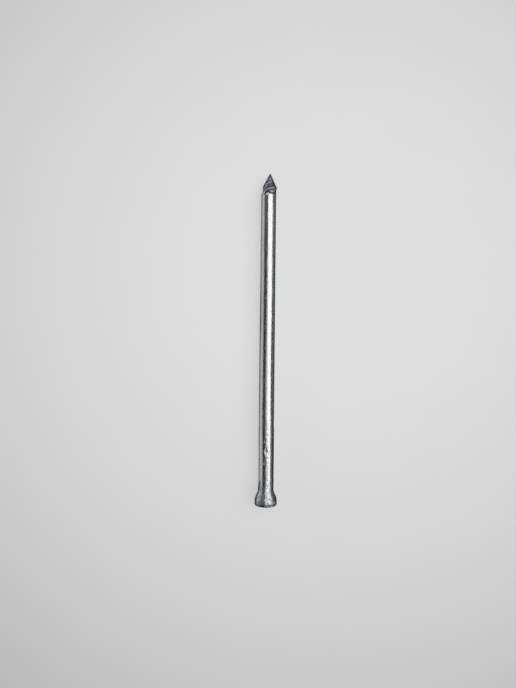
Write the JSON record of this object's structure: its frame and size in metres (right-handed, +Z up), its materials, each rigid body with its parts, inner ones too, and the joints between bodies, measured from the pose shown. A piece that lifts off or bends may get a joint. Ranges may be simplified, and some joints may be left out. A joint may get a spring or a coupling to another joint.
{
  "type": "finishing nail",
  "caption": "Straight round wire nail with a small bullet-shaped head, tooth marks under the head and a pinched diamond point, lying on its side.",
  "frame": {"origin": "on the surface the nail lies on, under the middle of its bounding box", "axes": "+Y along the nail towards its point, +Z up from the surface, +X to the right of the nail seen from above with the point away"},
  "size_m": [0.0034, 0.0508, 0.0034],
  "materials": {
    "steel": "bright drawn wire with fine lengthwise draw lines, smooth die-formed head and dark sheared point"
  },
  "bodies": {
    "root": {"nail": "steel"}
  },
  "joints": []
}
